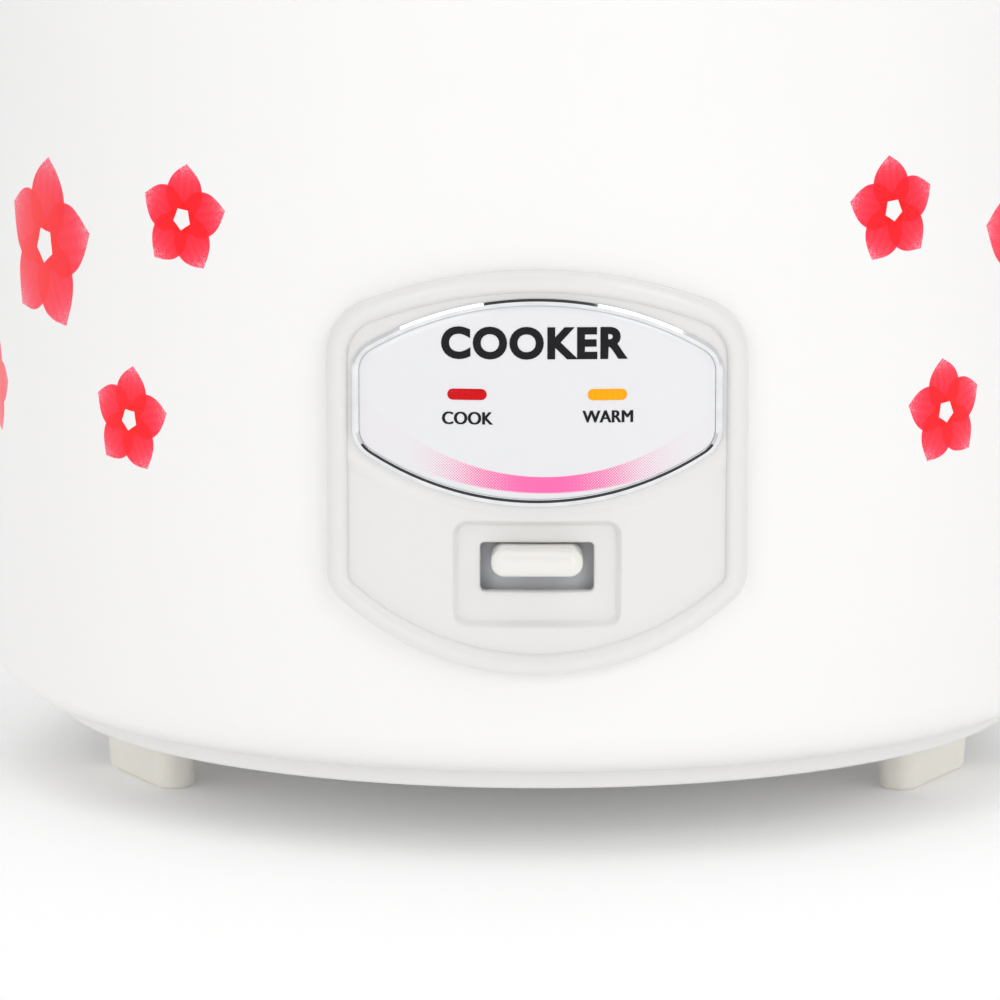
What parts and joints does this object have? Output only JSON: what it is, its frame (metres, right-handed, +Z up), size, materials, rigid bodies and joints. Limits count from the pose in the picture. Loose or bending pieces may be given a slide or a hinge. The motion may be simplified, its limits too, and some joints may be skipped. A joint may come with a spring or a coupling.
{
  "type": "rice cooker",
  "caption": "Jar-type electric rice cooker: round white drum with printed flowers, front control panel, hinged domed lid, bail handle and removable pot.",
  "frame": {"origin": "on the floor under the middle of the whole outline, a few millimetres in front of the body axis", "axes": "+Z up, the control panel faces -Y, the lid hinge and the mains inlet are at +Y, +X is to the right seen from the front"},
  "size_m": [0.295, 0.2974, 0.2639],
  "materials": {
    "painted_white": "gloss",
    "white_plastic": "satin gloss",
    "ivory_plastic": "satin",
    "grey_plastic": "satin",
    "chrome": "polished",
    "lens_white": "gloss, printed behind",
    "cook_red": "gloss, translucent",
    "warm_amber": "gloss, translucent",
    "clear_plastic": "clear",
    "aluminium": "spun",
    "anodised_aluminium": "anodised",
    "steel": "pressed",
    "zinc_steel": "zinc plated",
    "silicone": "matte, translucent",
    "ferrite": "matte",
    "black_plastic": "matte",
    "brass": "plain",
    "lamp_glass": "clear",
    "wire_brown": "insulation",
    "wire_blue": "insulation",
    "wire_green": "insulation",
    "wire_white": "plain"
  },
  "bodies": {
    "cooker_base": {"outer_shell": "painted_white", "base_plate": "white_plastic", "foot_front_left": "ivory_plastic", "foot_front_right": "ivory_plastic", "foot_rear": "ivory_plastic", "foot_screw_front_left": "zinc_steel", "foot_screw_front_right": "zinc_steel", "foot_screw_rear": "zinc_steel", "inner_case": "steel", "heating_plate": "aluminium", "heater_element": "steel", "sensor_guide": "steel", "sensor_spring": "steel", "rocker_bracket": "zinc_steel", "rocker_pin": "steel", "changeover_switch": "black_plastic", "keep_warm_thermostat": "black_plastic", "thermal_fuse": "wire_white", "side_heater_band": "aluminium", "terminal_block": "wire_white", "power_inlet": "black_plastic", "inlet_pin_live": "brass", "inlet_pin_neutral": "brass", "inlet_pin_earth": "brass", "mains_wire_live": "wire_brown", "mains_wire_neutral": "wire_blue", "mains_wire_earth": "wire_green", "heater_lead": "wire_white", "lamp_lead": "wire_white", "control_panel": "white_plastic", "lens_trim": "chrome", "panel_lens": "lens_white", "cook_window": "cook_red", "warm_window": "warm_amber", "cook_lamp": "lamp_glass", "warm_lamp": "lamp_glass", "top_ring": "white_plastic", "hinge_pin": "steel", "lid_spring": "steel", "handle_pivot_left": "zinc_steel", "handle_pivot_right": "zinc_steel"},
    "lid": {"lid_outer": "white_plastic", "lid_liner": "white_plastic", "lid_inner_plate": "aluminium", "lid_gasket": "silicone"},
    "latch": {"lid_button": "grey_plastic", "latch_hook": "ivory_plastic"},
    "steam_cap_body": {"steam_cap": "white_plastic"},
    "handle": {"carry_handle": "white_plastic"},
    "slider": {"cook_slider": "zinc_steel", "slot_shutter": "grey_plastic", "cook_knob": "ivory_plastic"},
    "rocker": {"rocker_arm": "zinc_steel"},
    "plunger": {"switch_plunger": "wire_white"},
    "magnet": {"magnet_rod": "ferrite"},
    "sensor": {"sensor_cap": "aluminium", "sensor_ferrite": "ferrite"},
    "pot": {"inner_pot": "anodised_aluminium"},
    "dew_cup": {"dew_collector": "clear_plastic"}
  },
  "joints": [
    {"name": "lid_hinge", "type": "hinge", "parent": "cooker_base", "child": "lid", "pos_m": [0, 0.1253, 0.211], "axis": [-1, 0, 0], "range_deg": [0, 95]},
    {"name": "latch_press", "type": "slide", "parent": "lid", "child": "latch", "axis": [0, 1, 0], "range_m": [0, 0.002], "stiffness_N_per_m": 600, "springref_m": -0.003},
    {"name": "steam_cap_lift", "type": "slide", "parent": "lid", "child": "steam_cap_body", "axis": [0, 0, 1], "range_m": [0, 0.03]},
    {"name": "handle_swing", "type": "hinge", "parent": "cooker_base", "child": "handle", "pos_m": [0, -0.0087, 0.208], "axis": [1, 0, 0], "range_deg": [0, 90]},
    {"name": "cook_press", "type": "slide", "parent": "cooker_base", "child": "slider", "axis": [0, 0, -1], "range_m": [0, 0.004], "stiffness_N_per_m": 300, "springref_m": -0.004},
    {"name": "rocker_pivot", "type": "hinge", "parent": "cooker_base", "child": "rocker", "pos_m": [0, -0.0587, 0.026], "axis": [1, 0, 0], "range_deg": [0, 3.4]},
    {"name": "magnet_lift", "type": "slide", "parent": "cooker_base", "child": "magnet", "axis": [0, 0, 1], "range_m": [0, 0.003]},
    {"name": "plunger_press", "type": "slide", "parent": "cooker_base", "child": "plunger", "axis": [0, 0, -1], "range_m": [0, 0.0025]},
    {"name": "sensor_press", "type": "slide", "parent": "cooker_base", "child": "sensor", "axis": [0, 0, -1], "range_m": [0, 0.001], "stiffness_N_per_m": 400, "springref_m": -0.003, "deforming": ["sensor_spring"]},
    {"name": "pot_turn", "type": "hinge", "parent": "cooker_base", "child": "pot", "pos_m": [0, -0.0087, 0.062], "axis": [0, 0, 1], "continuous": true},
    {"name": "dew_cup_pull", "type": "slide", "parent": "cooker_base", "child": "dew_cup", "axis": [0, 1, 0], "range_m": [0, 0.03]}
  ],
  "couplings": [
    {"joint": "rocker_pivot", "follows": "cook_press", "rad_per_m": 14.389},
    {"joint": "magnet_lift", "follows": "cook_press", "ratio": 0.7194},
    {"joint": "plunger_press", "follows": "cook_press", "ratio": 0.5899}
  ]
}
